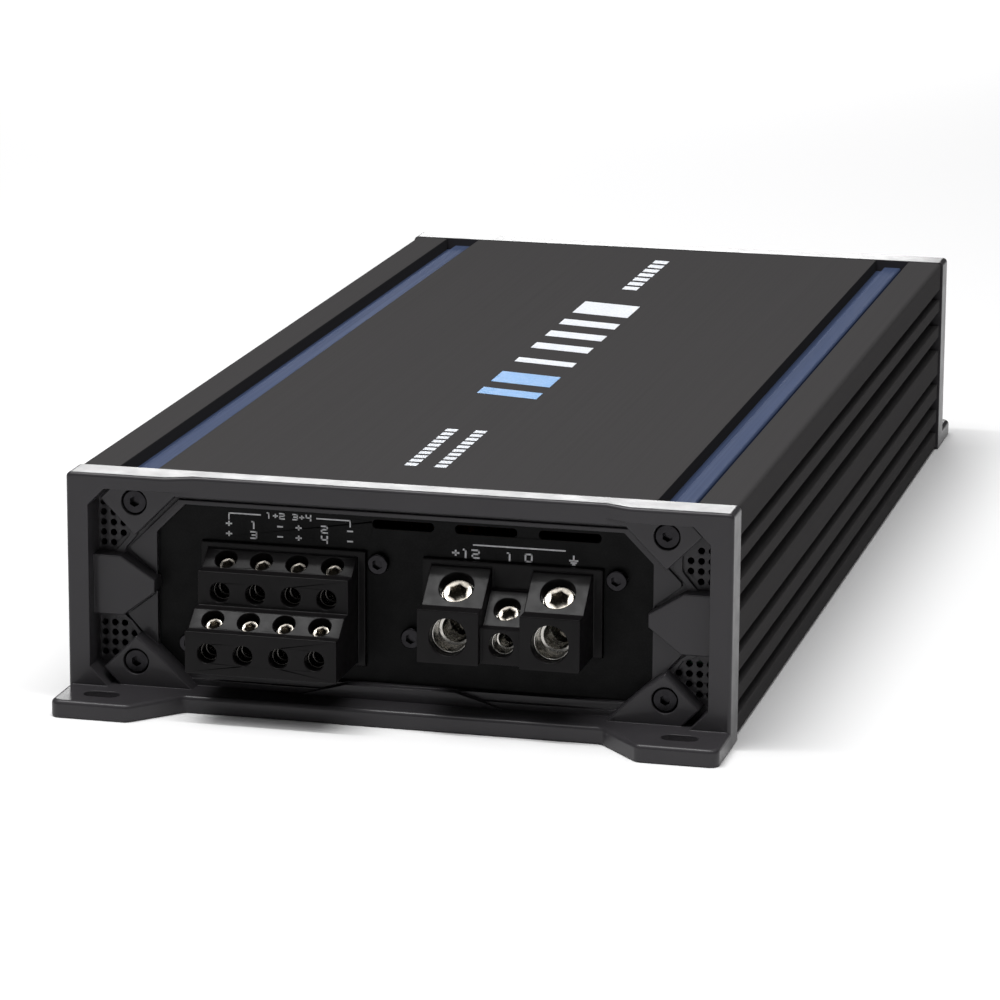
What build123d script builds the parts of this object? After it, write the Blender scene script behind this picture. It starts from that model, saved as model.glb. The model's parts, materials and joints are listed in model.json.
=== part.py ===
"""Four-channel car power amplifier, as an assembly of separate pieces.

Millimetres. X runs across the terminal end, Y along the case (terminal end at -Y, control end at +Y),
Z up. The origin is the middle of the footprint, on the surface that the feet stand on.
"""
from build123d import *
from math import cos, hypot, radians, sin, tan
import os

# ---------------------------------------------------------------- driving dimensions
CASE_WIDTH = 176.0            # over the two end bezels
CASE_HEIGHT = 61.4            # foot sole to bezel top
FACE_Y = 179.3                # from the middle of the case to a bezel's front face
BEZEL_DEPTH = 9.7             # bezel skirt, front to back
FOOT_REACH = 15.7             # how far the feet stand out beyond the bezel face
FOOT_THICK = 4.5
BODY_INSET = 0.8              # heatsink side behind the bezel side
BODY_BOTTOM = 0.6
BODY_TOP = 61.2
CLEAR = 0.02                  # radial gap of a fixed pin in its hole

HALF_W = CASE_WIDTH / 2
BODY_Y = FACE_Y - BEZEL_DEPTH
BODY_X = HALF_W - BODY_INSET

# bezel levels, as depths behind the front face
PLATE_DEPTH = 2.7             # screw plates and the middle of the top bar
BLOCK_DEPTH = 4.0             # pentagon blocks on the side bars
RIM_DEPTH = 8.0               # rim around the panel opening
GROOVE_DEPTH = 9.0            # groove around the rim
GRILLE_DEPTH = 8.9            # corner grilles, let into the back of the bezel
PANEL_DEPTH = BEZEL_DEPTH     # terminal and control panels
PANEL_THICK = 1.5
GRILLE_THICK = 0.8
PLATE_BEVEL = 0.3
PENTAGON_BEVEL = 0.2

# corner fixing screws and the screw channels of the heatsink
SCREW_X = 70.4
SCREW_TOP_Z = 53.8
SCREW_LOW_Z = 11.0
CHANNEL_R = 2.0
CHANNEL_WALL = 2.0
CHANNEL_BOSS_R = CHANNEL_R + CHANNEL_WALL
CORNER_HEAD_R = 3.3
CORNER_HEAD_H = 3.0
CORNER_SCREW_LENGTH = 16.0

# mounting slots in the feet
SLOT_X = 76.5
SLOT_Y = 186.5
SLOT_LENGTH = 9.6
SLOT_WIDTH = 5.2

# heatsink walls
WALL_INNER_X = 81.6
TOP_INNER_Z = 57.2
FIN_DEPTH = 4.0
FIN_GAPS = ((49.2, 52.6), (40.7, 45.5), (32.6, 37.0), (21.4, 24.7), (13.0, 16.8), (5.3, 8.9))
BODY_EDGE_R = 1.1
FLANGE_TOP_Z = 5.0
FLANGE_INNER_X = 66.0
COVER_EDGE_X = 84.0
COVER_LOW_Z = 1.0
COVER_TOP_Z = 2.6

COVER_SCREWS = [(x, y) for x in (-78.0, 78.0) for y in (-150.0, -50.0, 50.0, 150.0)]
STANDOFFS = [(x, y) for x in (-58.0, 58.0) for y in (-135.0, 0.0, 135.0)]
COUNTERSINK_DEEP = 1.3

# power transistors clamped to the side walls
TRANSISTOR_Y = (-105.0, -75.0, -45.0, -15.0, 15.0, 45.0, 75.0, 105.0)
CLAMP_SCREW_Y = (-90.0, -30.0, 30.0, 90.0)
CLAMP_SCREW_Z = 28.6
CLAMP_SCREW_R = 1.25
PAD_THICK = 0.7
TRANSISTOR_THICK = 4.6
CLAMP_THICK = 1.5

# the two coloured trim strips on top
TRIM_X = 71.5
TRIM_GROOVE_W = 10.6
TRIM_GROOVE_DEEP = 4.5
TRIM_BASE_THICK = 1.0
TRIM_RIDGE_W = 5.6
TRIM_RIDGE_DROP = 2.2

# circuit board
BOARD_LOW_Z = 16.0
BOARD_THICK = 1.6
BOARD_TOP_Z = BOARD_LOW_Z + BOARD_THICK
BOARD_HALF_X = 79.0
BOARD_FRONT_Y = -158.0
BOARD_REAR_Y = 160.0

# speaker terminals: two tiers of four
SPEAKER_PITCH = 9.525
SPEAKER_X = -31.96
SPEAKER_HALF_W = 20.15
SPEAKER_BORE_R = 2.2
SPEAKER_HOLE_R = 2.6
SPEAKER_WIRE_R = 1.8
SPEAKER_SCREW_R = 2.35
SPEAKER_LOW = {"front": -191.8, "bottom": 13.5, "ledge_z": 24.6, "ledge_y": -189.0, "wire_z": 19.0}
SPEAKER_HIGH = {"front": -180.4, "bottom": 28.6, "ledge_z": 37.7, "ledge_y": -177.1, "wire_z": 32.2}
SPEAKER_SLOPE = 38.0
SPEAKER_SLOPE_RUN = 5.2

# power terminals: battery, remote turn-on and ground
POWER_SLOPE = 41.0
POWER_MAIN = {"front": -186.0, "bottom": 19.2, "ledge_z": 33.1, "ledge_y": -181.6, "run": 9.4}
POWER_REMOTE = {"front": -183.7, "bottom": 19.2, "ledge_z": 28.7, "ledge_y": -181.2, "run": 8.2}
POWER_LEFT_X = 7.8
POWER_SPLIT_X = (23.9, 34.6)
POWER_RIGHT_X = 50.3
POWER_BORE_R = 4.5
POWER_HOLE_R = 4.9
POWER_WIRE_R = 3.6
POWER_SCREW_R = 3.95
REMOTE_BORE_R = 2.8
REMOTE_HOLE_R = 3.2
REMOTE_WIRE_R = 2.2
REMOTE_SCREW_R = 2.85

# metal clamps inside the terminal housings
SLEEVE_DROP = 3.0             # wire sleeve behind the housing's face
TOWER_DROP = 3.2              # screw collar below the slope
TOWER_WALL = 0.5
HEAD_DROP = 2.0               # screw below the slope, backed off
ENTRY_GAP = 0.4               # end of the wider wire entry in front of the screw's thread
TIP_GAP = 0.35                # backed-off screw tip above the conductor bore

# control end
CONTROL_KNOBS = {"gain_knob_ab": 20.0, "filter_knob_ab": 6.0, "gain_knob_cd": -12.0,
                 "filter_knob_cd": -26.0, "bass_knob": -44.0}
KNOB_Z = 38.0
KNOB_R = 5.6
KNOB_SHAFT_R = 3.0
SWITCH_Z = 23.0
SWITCHES = {"filter_switch_ab": (13.0, 0.0), "input_mode_switch": (-3.0, -2.0),
            "filter_switch_cd": (-19.0, 0.0)}
SWITCH_TRAVEL = 2.0
RCA_X = (50.0, 36.0)
RCA_Z = (25.0, 39.0)
RCA_R = 4.15                  # plug surface of a jack's barrel
RCA_NECK_R = 3.6
RCA_FLANGE_R = 4.9
RCA_BORE_R = 3.2
RCA_CORE_R = 3.15
RCA_CONTACT_R = 1.6
LED_X = -58.5
LEDS = {"power_led": 41.0, "protect_led": 34.0}
SOCKET_X = -44.0


# ---------------------------------------------------------------- helpers
def front(depth):
    """Y of the plane that lies this deep behind the front bezel's face."""
    return -FACE_Y + depth


def rear(depth):
    """Y of the plane that lies this deep behind the rear bezel's face."""
    return FACE_Y - depth


def block(x_low, x_high, y_low, y_high, z_low, z_high):
    """Rectangular block between the given limits."""
    size = Box(x_high - x_low, y_high - y_low, z_high - z_low)
    return Pos((x_low + x_high) / 2, (y_low + y_high) / 2, (z_low + z_high) / 2) * size


def prism_y(points, y_low, y_high):
    """Outline of (x, z) points, extruded along Y."""
    plane = Plane(origin=(0, y_high, 0), x_dir=(1, 0, 0), z_dir=(0, -1, 0))
    return extrude(plane * make_face(Polyline(*points, close=True)), y_high - y_low)


def prism_x(points, x_low, x_high):
    """Outline of (y, z) points, extruded along X."""
    plane = Plane(origin=(x_low, 0, 0), x_dir=(0, 1, 0), z_dir=(1, 0, 0))
    return extrude(plane * make_face(Polyline(*points, close=True)), x_high - x_low)


def prism_z(points, z_low, z_high):
    """Outline of (x, y) points, extruded along Z."""
    return extrude(Plane(origin=(0, 0, z_low)) * make_face(Polyline(*points, close=True)), z_high - z_low)


def symmetric(half):
    """Full outline from its right half."""
    return half + [(-x, other) for x, other in reversed(half)]


def handed(points, side):
    """Points of the right-hand outline, or their mirror image for side -1."""
    return [(side * x, other) for x, other in points]


def rod_y(x, z, radius, y_low, y_high):
    """Round bar along Y."""
    return Pos(x, (y_low + y_high) / 2, z) * Rot(90, 0, 0) * Cylinder(radius, y_high - y_low)


def rod_z(x, y, radius, z_low, z_high):
    """Upright round bar."""
    return Pos(x, y, (z_low + z_high) / 2) * Cylinder(radius, z_high - z_low)


def rod(start, direction, radius, length):
    """Round bar from a point along a direction."""
    bar = Cylinder(radius, length, align=(Align.CENTER, Align.CENTER, Align.MIN))
    return Plane(origin=start, z_dir=direction) * bar


def hexagon_bar(start, direction, across_flats, length):
    """Hexagonal bar from a point along a direction."""
    outline = RegularPolygon(across_flats / 2, 6, major_radius=False)
    return extrude(Plane(origin=start, z_dir=direction) * outline, length)


def group(shapes):
    """Separate solids kept together in one node."""
    return Compound(children=[solid for shape in shapes for solid in shape.solids()])


def from_rear(shape):
    """The same piece on the control end."""
    return mirror(shape, Plane.XZ)


# ---------------------------------------------------------------- end bezels
OPENING = symmetric([(77.3, 4.5), (82.1, 9.6), (82.1, 53.0), (77.6, 57.5)])
PANEL_OPENING = symmetric([(59.3, 8.2), (66.0, 14.9), (66.0, 45.0), (58.3, 52.7)])
GRILLE_OUTLINES = (
    [(82.6, 38.0), (82.6, 54.4), (79.0, 54.4), (72.8, 48.2), (72.8, 43.4), (77.2, 38.0)],
    [(82.6, 8.9), (82.6, 23.3), (77.0, 23.3), (73.2, 21.0), (71.0, 17.6), (71.0, 16.5), (78.6, 8.9)],
)
GRILLE_PITCH = 2.7
GRILLE_HOLE_R = 0.85
GRILLE_HOLE_X = 75.4
GRILLE_HOLE_Z = 11.4
GRILLE_MARGIN = 0.35          # metal left between a hole and the plate's edge


def bezel_shell():
    """Outer frame with its set-back top bar and rounded front edges."""
    plan = symmetric([(HALF_W, front(BEZEL_DEPTH)), (HALF_W, front(0)),
                      (61.0, front(0)), (54.5, front(PLATE_DEPTH))])
    shell = prism_z(plan, 0, CASE_HEIGHT)
    corners = shell.edges().filter_by(Axis.Y).group_by(Axis.Z)[-1]
    shell = fillet(corners, 1.4)
    front_rim = [edge for edge in shell.edges()
                 if edge.center().Y < front(PLATE_DEPTH + 0.2)
                 and (edge.center().Z > CASE_HEIGHT - 1 or abs(edge.center().X) > HALF_W - 0.1)]
    shell = fillet(front_rim, 1.0)
    return shell - prism_y(OPENING, front(-1), front(BEZEL_DEPTH + 1))


def bezel_apron():
    """Floor flange that runs out into the two mounting feet."""
    plan = symmetric([(HALF_W, front(BEZEL_DEPTH)), (HALF_W, front(-FOOT_REACH)),
                      (67.0, front(-FOOT_REACH)), (55.3, front(-3.0))])
    apron = prism_z(plan, 0, FOOT_THICK)
    upright = apron.edges().filter_by(Axis.Z)
    toes = [edge for edge in upright if edge.center().Y < front(-1)]
    apron = fillet(toes, 2.6)
    top_rim = [edge for edge in apron.faces().sort_by(Axis.Z)[-1].edges()
               if edge.center().Y < front(0)]
    apron = fillet(top_rim, 1.2)
    slot = SlotOverall(SLOT_LENGTH, SLOT_WIDTH)
    for side in (-1, 1):
        apron -= extrude(Pos(side * SLOT_X, -SLOT_Y, -1) * slot, FOOT_THICK + 2)
    return apron


def bevelled_plate(points, depth, bevel):
    """Raised plate of the bezel, with the edges of its face chamfered except where it meets the frame."""
    plate = prism_y(points, front(depth), front(BEZEL_DEPTH))
    face_edges = plate.faces().sort_by(Axis.Y)[0].edges()
    free = [edge for edge in face_edges
            if abs(edge.center().X) < 82.5 and 5.0 < edge.center().Z < 57.0]
    return chamfer(free, bevel)


def bezel():
    """The terminal-end bezel, one casting with its feet."""
    casting = bezel_shell() + bezel_apron()
    top_plates = symmetric([(59.6, 55.8), (70.3, 45.0), (79.7, 54.4), (76.2, 57.9)])
    casting += bevelled_plate(top_plates, PLATE_DEPTH, PLATE_BEVEL)
    opening = prism_y(PANEL_OPENING, front(0), front(BEZEL_DEPTH + 1))
    bed = symmetric([(59.5, 4.4), (70.5, 15.4), (75.5, 21.5), (75.5, 39.5), (70.5, 45.5), (59.5, 56.5)])
    casting += prism_y(bed, front(GROOVE_DEPTH), front(BEZEL_DEPTH)) - opening
    rim = symmetric([(56.7, 4.4), (70.1, 17.8), (74.1, 22.3), (66.4, 28.4), (66.4, 34.1),
                     (73.3, 39.7), (73.2, 40.7), (60.0, 53.9)])
    casting += prism_y(rim, front(RIM_DEPTH), front(BEZEL_DEPTH)) - opening
    step = [(-57.0, 4.4), (57.0, 4.4), (57.0, 6.1), (-57.0, 6.1)]
    casting += prism_y(step, front(RIM_DEPTH - 1), front(RIM_DEPTH))
    ridge = [(-27.5, 4.4), (27.5, 4.4), (14.5, 8.1), (-14.5, 8.1)]
    casting += prism_y(ridge, front(RIM_DEPTH - 2.2), front(RIM_DEPTH))
    for side in (-1, 1):
        casting += bezel_corner_plates(side)
        for outline in GRILLE_OUTLINES:
            casting -= prism_y(handed(outline, side), front(GRILLE_DEPTH), front(BEZEL_DEPTH + 1))
        for screw_z in (SCREW_TOP_Z, SCREW_LOW_Z):
            casting -= rod_y(side * SCREW_X, screw_z, CORNER_HEAD_R + 0.15,
                             front(0), front(PLATE_DEPTH + CORNER_HEAD_H + 0.5))
            casting -= rod_y(side * SCREW_X, screw_z, CHANNEL_R, front(0), front(BEZEL_DEPTH + 1))
    return casting


def bezel_corner_plates(side):
    """Plates of one side bar: low screw plate, pentagon block, webs beside the grilles, corner floors."""
    low_plate = [(70.3, 17.9), (79.3, 8.9), (74.9, 4.4), (54.9, 4.4), (58.2, 7.5), (64.5, 13.4)]
    plates = bevelled_plate(handed(low_plate, side), PLATE_DEPTH, PLATE_BEVEL)
    pentagon = [(83.0, 38.8), (74.7, 38.8), (65.5, 33.0), (65.5, 29.6), (74.2, 22.9), (83.0, 22.9)]
    plates += bevelled_plate(handed(pentagon, side), BLOCK_DEPTH, PENTAGON_BEVEL)
    high_web = [(77.7, 38.6), (74.0, 43.0), (73.4, 44.0), (73.4, 48.2), (70.9, 45.6),
                (71.5, 43.6), (74.3, 40.3), (74.7, 38.7)]
    low_web = [(77.5, 23.0), (77.5, 21.5), (74.0, 20.2), (71.9, 17.2), (71.6, 16.4),
               (70.5, 17.5), (73.1, 20.6), (74.9, 22.0), (74.9, 23.0)]
    for web in (high_web, low_web):
        plates += prism_y(handed(web, side), front(RIM_DEPTH), front(BEZEL_DEPTH))
    high_floor = [(75.5, 58.0), (78.0, 58.0), (82.3, 53.9), (78.6, 53.9)]
    low_floor = [(74.5, 4.4), (77.5, 4.4), (82.3, 9.4), (78.0, 9.4)]
    for floor in (high_floor, low_floor):
        plates += prism_y(handed(floor, side), front(GROOVE_DEPTH), front(BEZEL_DEPTH))
    return plates


def edge_distance(outline, x, z):
    """Distance of a point inside a convex outline from its nearest edge; negative outside."""
    distances = []
    for (x0, z0), (x1, z1) in zip(outline, outline[1:] + outline[:1]):
        cross = (x1 - x0) * (z - z0) - (z1 - z0) * (x - x0)
        distances.append(cross / hypot(x1 - x0, z1 - z0))
    return min(distances)


def corner_grilles():
    """Perforated plates in the back of the bezel's corner windows, two each side."""
    plates = []
    for side in (-1, 1):
        for outline in GRILLE_OUTLINES:
            plate = prism_y(handed(outline, side), front(GRILLE_DEPTH),
                            front(GRILLE_DEPTH + GRILLE_THICK))
            for column in range(-1, 3):
                for row in range(16):
                    x = GRILLE_HOLE_X + GRILLE_PITCH * column
                    z = GRILLE_HOLE_Z + GRILLE_PITCH * row
                    if edge_distance(outline, x, z) > GRILLE_HOLE_R + GRILLE_MARGIN:
                        plate -= rod_y(side * x, z, GRILLE_HOLE_R, front(0), front(BEZEL_DEPTH + 1))
            plates.append(plate)
    return group(plates)


def corner_screws():
    """Four socket-head screws that hold a bezel to the heatsink's channels."""
    screws = []
    head_front = front(PLATE_DEPTH + 0.5)
    head_back = head_front + CORNER_HEAD_H
    for x in (-SCREW_X, SCREW_X):
        for z in (SCREW_LOW_Z, SCREW_TOP_Z):
            head = rod_y(x, z, CORNER_HEAD_R, head_front, head_back)
            head = fillet(head.edges().filter_by(GeomType.CIRCLE).sort_by(Axis.Y)[0], 0.5)
            shank = rod_y(x, z, CHANNEL_R - CLEAR, head_back, head_back + CORNER_SCREW_LENGTH)
            socket = hexagon_bar((x, head_front - 0.1, z), (0, 1, 0), 2.5, 1.9)
            screws.append(head + shank - socket)
    return group(screws)


# ---------------------------------------------------------------- heatsink, trim and cover
def heatsink():
    """Finned aluminium extrusion: top and side walls with the screw channels."""
    body = block(-BODY_X, BODY_X, -BODY_Y, BODY_Y, BODY_BOTTOM, BODY_TOP)
    body = fillet(body.edges().filter_by(Axis.Y).group_by(Axis.Z)[-1], BODY_EDGE_R)
    past_end = BODY_Y + 1
    body -= block(-WALL_INNER_X, WALL_INNER_X, -past_end, past_end, FLANGE_TOP_Z, TOP_INNER_Z)
    body -= block(-FLANGE_INNER_X, FLANGE_INNER_X, -past_end, past_end, 0, FLANGE_TOP_Z + 1)
    rebate_x = COVER_EDGE_X + 0.2
    body -= block(-rebate_x, rebate_x, -past_end, past_end, 0, COVER_TOP_Z)
    groove_half = TRIM_GROOVE_W / 2
    groove_floor = BODY_TOP - TRIM_GROOVE_DEEP
    for side in (-1, 1):
        trough = groove_half + 2.0
        body += block(side * TRIM_X - trough, side * TRIM_X + trough, -BODY_Y, BODY_Y,
                      groove_floor - 2.0, TOP_INNER_Z + 1)
        body += block(side * SCREW_X - 3, side * SCREW_X + 3, -BODY_Y, BODY_Y,
                      SCREW_TOP_Z, groove_floor - 1)
        body += block(side * SCREW_X - 2, side * SCREW_X + 2, -BODY_Y, BODY_Y,
                      COVER_TOP_Z + 1, SCREW_LOW_Z)
        for channel_z in (SCREW_TOP_Z, SCREW_LOW_Z):
            body += rod_y(side * SCREW_X, channel_z, CHANNEL_BOSS_R, -BODY_Y, BODY_Y)
        body -= block(side * TRIM_X - groove_half, side * TRIM_X + groove_half, -past_end, past_end,
                      groove_floor, BODY_TOP + 1)
        for channel_z in (SCREW_TOP_Z, SCREW_LOW_Z):
            body -= rod_y(side * SCREW_X, channel_z, CHANNEL_R, -past_end, past_end)
        fin_root = side * (BODY_X - FIN_DEPTH)
        fin_tip = side * (BODY_X + 1)
        for gap_low, gap_high in FIN_GAPS:
            body -= block(min(fin_root, fin_tip), max(fin_root, fin_tip), -past_end, past_end,
                          gap_low, gap_high)
    for x, y in COVER_SCREWS:
        body -= rod_z(x, y, 1.5, COVER_TOP_Z - 1, FLANGE_TOP_Z + 1)
    for side in (-1, 1):
        for y in CLAMP_SCREW_Y:
            wall_x = side * WALL_INNER_X
            body -= rod((wall_x - side, y, CLAMP_SCREW_Z), (side, 0, 0), CLAMP_SCREW_R, 5.0)
    return body


def trim_strip(side):
    """Anodised hat-section strip in one of the two top grooves."""
    half_base = TRIM_GROOVE_W / 2 - 0.1
    half_ridge = TRIM_RIDGE_W / 2
    low = BODY_TOP - TRIM_GROOVE_DEEP
    base_top = low + TRIM_BASE_THICK
    ridge_top = BODY_TOP - TRIM_RIDGE_DROP
    bevel = 0.4
    outline = [(half_base, low), (half_base, base_top), (half_ridge, base_top),
               (half_ridge, ridge_top - bevel), (half_ridge - bevel, ridge_top)]
    strip = prism_y(symmetric(outline), -BODY_Y + 0.1, BODY_Y - 0.1)
    return Pos(side * TRIM_X, 0, 0) * strip


def countersink(x, y):
    """Conical seat for a flat-head screw that comes up through the cover."""
    cone = Cone(2.8, 1.5, COUNTERSINK_DEEP)
    return Pos(x, y, COVER_LOW_Z + COUNTERSINK_DEEP / 2) * cone


def bottom_cover():
    """Steel sheet that closes the underside."""
    cover = block(-COVER_EDGE_X, COVER_EDGE_X, -BODY_Y + 0.2, BODY_Y - 0.2, COVER_LOW_Z, COVER_TOP_Z)
    for x, y in COVER_SCREWS + STANDOFFS:
        cover -= countersink(x, y)
        cover -= rod_z(x, y, 1.5, 0, COVER_TOP_Z + 1)
    return cover


def flat_screws(places, tip_z):
    """Flat-head screws, flush with the underside of the cover."""
    screws = []
    for x, y in places:
        shank = rod_z(x, y, 1.5 - CLEAR, COVER_LOW_Z + COUNTERSINK_DEEP, tip_z)
        recess = Pos(x, y, COVER_LOW_Z) * (Box(3.0, 0.7, 1.6) + Box(0.7, 3.0, 1.6))
        screws.append(countersink(x, y) + shank - recess)
    return group(screws)


# ---------------------------------------------------------------- terminal and control panels
PANEL_OUTLINE = symmetric([(59.0, 6.0), (68.0, 15.0), (68.0, 46.0), (59.0, 55.0)])
SPEAKER_SHOULDER = (SPEAKER_X - SPEAKER_HALF_W - 1.9, SPEAKER_X + SPEAKER_HALF_W + 1.9, 12.5, 43.2)
POWER_SHOULDER = (POWER_LEFT_X - 2.4, POWER_RIGHT_X + 2.4, 19.2, 42.6)
PANEL_SCREWS = [(-57.5, 15.5), (-6.5, 40.2), (2.4, 21.1), (56.4, 40.1)]
VENT_SLOTS = [-0.2, 21.75, 43.8]
VENT_Z = 50.4
VENT_LENGTH = 16.4
VENT_HEIGHT = 2.3


def panel_vents(panel, y_low, y_high):
    """Three long slots along the top of a panel."""
    slot = SlotOverall(VENT_LENGTH, VENT_HEIGHT)
    plane = Plane(origin=(0, y_high, 0), x_dir=(1, 0, 0), z_dir=(0, -1, 0))
    for x in VENT_SLOTS:
        panel -= extrude(plane * Pos(x, VENT_Z) * slot, y_high - y_low)
    return panel


def terminal_panel():
    """Steel panel behind the front bezel's rim, with openings for the terminal blocks."""
    y_low, y_high = front(PANEL_DEPTH), front(PANEL_DEPTH + PANEL_THICK)
    panel = prism_y(PANEL_OUTLINE, y_low, y_high)
    panel = panel_vents(panel, y_low - 1, y_high + 1)
    for left, right, low, high in (SPEAKER_SHOULDER, POWER_SHOULDER):
        panel -= block(left - 0.1, right + 0.1, y_low - 1, y_high + 1, low - 0.1, high + 0.1)
    for x, z in PANEL_SCREWS:
        panel -= rod_y(x, z, 1.5, y_low - 1, y_high + 1)
    return panel


def panel_screws():
    """Socket-head screws that fix the terminal blocks to the panel from the front."""
    screws = []
    face = front(PANEL_DEPTH)
    for x, z in PANEL_SCREWS:
        head = rod_y(x, z, 2.75, face - 2.2, face)
        head = fillet(head.edges().filter_by(GeomType.CIRCLE).sort_by(Axis.Y)[0], 0.4)
        shank = rod_y(x, z, 1.5 - CLEAR, face, face + 6.0)
        socket = hexagon_bar((x, face - 2.3, z), (0, 1, 0), 2.5, 1.5)
        screws.append(head + shank - socket)
    return group(screws)


# ---------------------------------------------------------------- terminal blocks
def slope_axis(slope):
    """Outward normal of a terminal block's slope."""
    tilt = radians(slope)
    return (0, -sin(tilt), cos(tilt))


def tier_profile(tier, slope, run, back_y):
    """Side outline of a tier: face, ledge, slope and flat top."""
    top_z = tier["ledge_z"] + run * tan(radians(slope))
    return [(tier["front"], tier["bottom"]), (tier["front"], tier["ledge_z"]),
            (tier["ledge_y"], tier["ledge_z"]), (tier["ledge_y"] + run, top_z),
            (back_y, top_z), (back_y, tier["bottom"])]


def slope_middle(tier, slope, run):
    """Middle of a tier's slope, as (y, z)."""
    return tier["ledge_y"] + run / 2, tier["ledge_z"] + run / 2 * tan(radians(slope))


def screw_line(tier, slope, run, wire_z):
    """Where the clamping screw's axis starts on the slope, and its length down to the wire bore's axis."""
    y, z = slope_middle(tier, slope, run)
    return y, z, (z - wire_z) / cos(radians(slope))


def pole(x, tier, slope, run, wire_z, bore_r, wire_r, hole_r, screw_r, cage):
    """One clamp: its metal cage, the room it takes in the housing, and its screw, backed off."""
    axis = slope_axis(slope)
    y, z, reach = screw_line(tier, slope, run, wire_z)
    meet_y = y + reach * sin(radians(slope))
    half_w, half_h, half_l = cage
    cage_box = (x - half_w, x + half_w, meet_y - half_l, meet_y + half_l, wire_z - half_h, wire_z + half_h)
    mouth = tier["front"]
    sleeve_front = mouth + SLEEVE_DROP
    tower_r = screw_r + TOWER_WALL
    start = (x, y, z)
    inward = (0, -axis[1], -axis[2])
    tower_start = (x, y + inward[1] * TOWER_DROP, z + inward[2] * TOWER_DROP)
    room = (rod_y(x, wire_z, hole_r, mouth - 1, meet_y) + block(*cage_box)
            + rod((x, y - inward[1], z - inward[2]), inward, tower_r + CLEAR, reach + 1))
    metal = (rod_y(x, wire_z, hole_r - CLEAR, sleeve_front, meet_y) + block(*cage_box)
             + rod(tower_start, inward, tower_r, reach - TOWER_DROP))
    entry_end = meet_y - bore_r * tan(radians(slope)) - screw_r / cos(radians(slope)) - ENTRY_GAP
    metal -= rod_y(x, wire_z, bore_r, mouth - 1, entry_end)
    metal -= rod_y(x, wire_z, wire_r, mouth - 1, meet_y + half_l - 1.2)
    metal -= rod((x, y - inward[1], z - inward[2]), inward, screw_r + 0.05, 1 + reach + wire_r + 0.4)
    tip_clear = (wire_r + screw_r * sin(radians(slope))) / cos(radians(slope)) + TIP_GAP
    screw_length = reach - HEAD_DROP - tip_clear
    head = (x, y + inward[1] * HEAD_DROP, z + inward[2] * HEAD_DROP)
    screw = rod(head, inward, screw_r, screw_length)
    screw = chamfer(screw.edges().filter_by(GeomType.CIRCLE), 0.3)
    screw -= hexagon_bar((x, head[1] - inward[1] * 0.1, head[2] - inward[2] * 0.1), inward,
                         screw_r * 1.05, screw_r * 0.75)
    return room, metal, screw, cage_box


def tail(x, cage_box, y_down, z_level, width):
    """Flat contact blade from the back of a cage down to the circuit board."""
    blade = block(x - width / 2, x + width / 2, cage_box[3], y_down, z_level - 0.5, z_level + 0.5)
    return blade + block(x - width / 2, x + width / 2, y_down - 1.0, y_down, BOARD_TOP_Z, z_level + 0.5)


def speaker_terminals():
    """Two-tier housing, its eight clamps and eight clamping screws."""
    back_y = front(PANEL_DEPTH + PANEL_THICK)
    left, right = SPEAKER_X - SPEAKER_HALF_W, SPEAKER_X + SPEAKER_HALF_W
    low = tier_profile(SPEAKER_LOW, SPEAKER_SLOPE, SPEAKER_SLOPE_RUN, back_y)
    high = tier_profile(SPEAKER_HIGH, SPEAKER_SLOPE, SPEAKER_SLOPE_RUN, back_y)
    housing = prism_x(low, left, right) + prism_x(high, left, right)
    housing += ears(SPEAKER_SHOULDER, (PANEL_SCREWS[0], PANEL_SCREWS[1]))
    metals = []
    screws = []
    number = 0
    for tier, blade_y in ((SPEAKER_HIGH, -153.0), (SPEAKER_LOW, -156.5)):
        for column in range(4):
            x = SPEAKER_X + (column - 1.5) * SPEAKER_PITCH
            room, metal, screw, cage_box = pole(
                x, tier, SPEAKER_SLOPE, SPEAKER_SLOPE_RUN, tier["wire_z"],
                SPEAKER_BORE_R, SPEAKER_WIRE_R, SPEAKER_HOLE_R, SPEAKER_SCREW_R, (3.7, 3.6, 4.6))
            blade = tail(x, cage_box, blade_y, tier["wire_z"], 2.6)
            housing -= room
            housing -= blade
            metals.append(metal + blade)
            number += 1
            screws.append((f"speaker_screw_{number}", screw))
    return housing, group(metals), screws


def ears(shoulder, screw_places):
    """Shoulder in the panel opening and the fixing plate behind the panel."""
    left, right, low, high = shoulder
    panel_back = front(PANEL_DEPTH + PANEL_THICK)
    shape = block(left, right, front(PANEL_DEPTH - 1.5), panel_back, low, high)
    shape += block(left, right, panel_back, panel_back + 7.5, low, high)
    for x, z in screw_places:
        inner = left + 2 if x < left else right - 2
        shape += block(min(x - 3.2, inner), max(x + 3.2, inner), panel_back, panel_back + 4.0,
                       z - 3.2, z + 3.2)
        shape -= rod_y(x, z, 1.5, front(0), panel_back + 5.0)
    return shape


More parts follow.
